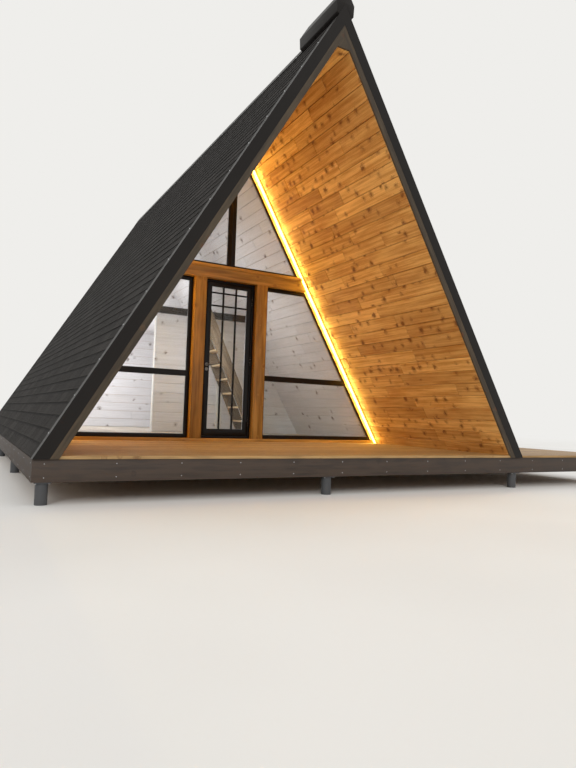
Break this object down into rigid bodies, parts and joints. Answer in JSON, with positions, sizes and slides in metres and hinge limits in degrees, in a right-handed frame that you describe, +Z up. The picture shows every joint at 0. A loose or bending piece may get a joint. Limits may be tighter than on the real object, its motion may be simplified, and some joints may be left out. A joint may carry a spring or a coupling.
{
  "type": "a-frame cabin",
  "caption": "A-frame timber cabin with steep shingled roof slopes down to a pile-borne deck, a roofed terrace, a glazed front wall with a glass door, and a loft.",
  "frame": {"origin": "on the ground, under the middle of the door, in the plane of the posts' front faces", "axes": "+X to the right along the front wall as seen from outside, +Y into the cabin along the ridge, +Z up"},
  "size_m": [8.2259, 9.006, 5.7579],
  "materials": {
    "pile_steel": "dark primed steel",
    "frame_timber": "sawn softwood, weathered",
    "fascia_timber": "dark stained boards",
    "deck_boards": "oiled softwood decking",
    "floor_boards": "pale floorboards",
    "roof_core": "rafters and insulation",
    "shingles": "dark granule shingles, matt",
    "soffit_pine": "knotty pine boards, oiled",
    "lining_paint": "whitewashed knotty boards",
    "barge_timber": "weathered grey-brown boards",
    "dark_metal": "dark brown coated sheet, satin",
    "post_timber": "orange-brown stained pine",
    "window_black": "black coated frames, satin",
    "glazing": "clear double glazing",
    "warm_light": "warm white light strip",
    "loft_timber": "dark stained beam",
    "loft_boards": "pale boards",
    "stair_timber": "grey-brown stained softwood",
    "tread_timber": "pale planed softwood",
    "handle_steel": "brushed"
  },
  "bodies": {
    "cabin": {"piles": "pile_steel", "cross_beams": "frame_timber", "joists": "frame_timber", "front_fascia": "fascia_timber", "side_fascia": "fascia_timber", "deck": "deck_boards", "side_deck": "deck_boards", "floor": "floor_boards", "roof_left": "roof_core", "roof_right": "roof_core", "shingles_left": "shingles", "shingles_right": "shingles", "soffit_left": "soffit_pine", "soffit_right": "soffit_pine", "lining_left": "lining_paint", "lining_right": "lining_paint", "apex_board": "soffit_pine", "barge_front_left": "barge_timber", "barge_front_right": "barge_timber", "barge_rear": "barge_timber", "verge_trim_front": "dark_metal", "verge_trim_rear": "dark_metal", "ridge_cap": "dark_metal", "ridge_hood": "dark_metal", "sill": "post_timber", "post_left": "post_timber", "post_right": "post_timber", "tie_beam": "post_timber", "window_left": "window_black", "window_right": "window_black", "upper_window_left": "window_black", "upper_window_right": "window_black", "lower_glass": "glazing", "upper_glass": "glazing", "door_frame": "window_black", "light_strips": "warm_light", "rear_wall": "soffit_pine", "rear_window": "window_black", "rear_glass": "glazing", "loft_floor": "loft_boards", "loft_beam": "loft_timber", "stair_stringers": "stair_timber", "stair_treads": "tread_timber", "partition": "lining_paint"},
    "door": {"door_leaf": "window_black", "door_glass": "glazing", "door_handle": "handle_steel"}
  },
  "joints": [
    {"name": "door_hinge", "type": "hinge", "parent": "cabin", "child": "door", "pos_m": [0.376, 0.086, 0.5], "axis": [0, 0, 1], "range_deg": [0, 100]}
  ]
}
